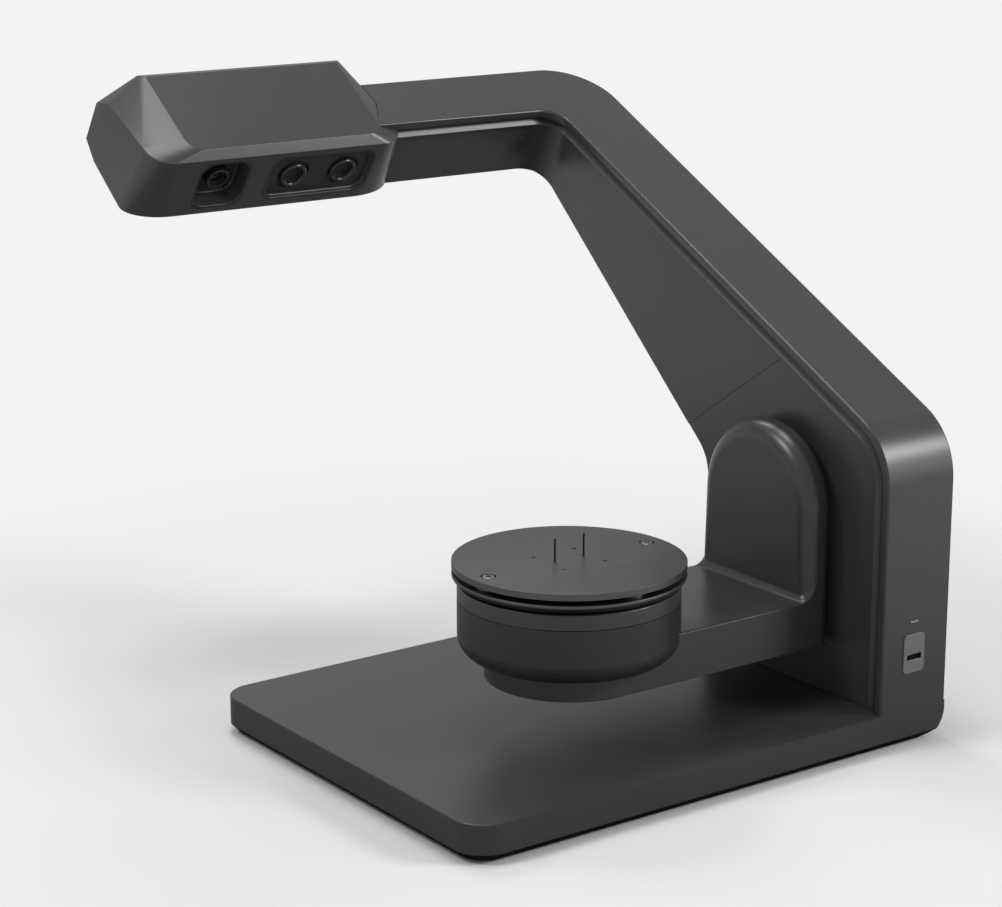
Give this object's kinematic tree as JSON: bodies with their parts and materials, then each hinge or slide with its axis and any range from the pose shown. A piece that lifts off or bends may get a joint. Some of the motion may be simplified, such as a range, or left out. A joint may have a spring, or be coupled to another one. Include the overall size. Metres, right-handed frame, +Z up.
{
  "type": "desktop 3d scanner",
  "caption": "Desktop 3D scanner: low wide base, leaning column with a side arm and scan head, and a tilting bracket with a motor-driven turntable.",
  "frame": {"origin": "on the table surface, under the middle of the object's outer box", "axes": "+Z up; +Y from the base's front to its back, the way the head leans; +X to the right as seen from the front, towards the column"},
  "size_m": [0.312, 0.3358, 0.3333],
  "materials": {
    "abs_dark": "satin moulded ABS, fine texture",
    "abs_black": "satin moulded ABS, near black",
    "rubber": "dull rubber",
    "steel": "plain steel",
    "sheet_aluminium": "mill finish aluminium",
    "barrel_black": "black anodised look, fine turned rings",
    "lens_glass": "dark coated lens glass",
    "module_black": "matt black housing",
    "board": "green solder mask",
    "motor_black": "black painted motor",
    "brass": "turned brass",
    "gear_plastic": "natural acetal",
    "anodised": "dark grey anodised aluminium, turned",
    "black_screw": "blackened steel",
    "key_plastic": "grey moulded key",
    "light_guide": "clear light guide"
  },
  "bodies": {
    "base": {"base_pan": "abs_black", "base_cover": "abs_dark", "ballast_plate": "steel", "rubber_feet": "rubber", "base_screws": "steel", "column_frame": "sheet_aluminium", "column_shell": "abs_dark", "column_inner_panel": "abs_black", "column_front_cover": "abs_dark", "arm_shell": "abs_dark", "arm_inner_panel": "abs_dark", "arm_front_cover": "abs_dark", "arm_beam": "sheet_aluminium", "head_front_shell": "abs_dark", "head_back_cover": "abs_dark", "head_bracket": "sheet_aluminium", "projector_bezel": "abs_black", "projector_barrel": "barrel_black", "projector_lens": "lens_glass", "projector_module": "module_black", "camera_bezel": "abs_black", "camera_barrels": "barrel_black", "camera_lenses": "lens_glass", "camera_modules": "module_black", "head_board": "board", "head_screws": "steel", "bearing_block": "sheet_aluminium", "tilt_bearings": "steel", "tilt_collar": "abs_black", "tilt_motor": "motor_black", "power_switch": "module_black", "switch_bracket": "sheet_aluminium", "status_light": "light_guide", "main_board": "board", "board_standoffs": "brass", "port_panel": "abs_black", "power_jack": "module_black", "data_socket": "steel"},
    "bracket": {"tilt_shaft": "steel", "tilt_gear": "gear_plastic", "hub_plate": "sheet_aluminium", "swing_bracket": "abs_dark", "bracket_bottom_cover": "abs_black", "cup_shell": "abs_black", "cup_cover_ring": "abs_dark", "spindle_housing": "sheet_aluminium", "spindle_bearings": "steel", "spin_motor": "motor_black"},
    "table": {"spindle": "steel", "spin_gear": "gear_plastic", "table_carrier": "anodised", "table_spacers": "anodised", "table_plate": "anodised", "table_screws": "black_screw", "sample_pins": "black_screw"},
    "tilt_pinion": {"tilt_pinion": "brass"},
    "spin_pinion": {"spin_pinion": "brass"},
    "key": {"power_key": "key_plastic"}
  },
  "joints": [
    {"name": "tilt", "type": "hinge", "parent": "base", "child": "bracket", "pos_m": [0.12879, -0.08482, 0.1194], "axis": [1, 0, 0], "range_deg": [-60, 30]},
    {"name": "tilt_pinion_turn", "type": "hinge", "parent": "base", "child": "tilt_pinion", "pos_m": [0.14274, -0.08482, 0.0744], "axis": [1, 0, 0], "range_deg": [-120, 240]},
    {"name": "spin", "type": "hinge", "parent": "bracket", "child": "table", "pos_m": [-0.0276, -0.08482, 0.0791], "axis": [0, 0, 1], "continuous": true},
    {"name": "spin_pinion_turn", "type": "hinge", "parent": "bracket", "child": "spin_pinion", "pos_m": [0.00615, -0.08482, 0.0791], "axis": [0, 0, 1], "continuous": true},
    {"name": "key_press", "type": "slide", "parent": "base", "child": "key", "axis": [0, 1, 0], "range_m": [0, 0.0012], "stiffness_N_per_m": 400}
  ],
  "couplings": [
    {"joint": "tilt_pinion_turn", "follows": "tilt", "ratio": -4},
    {"joint": "spin_pinion_turn", "follows": "spin", "ratio": -4}
  ]
}
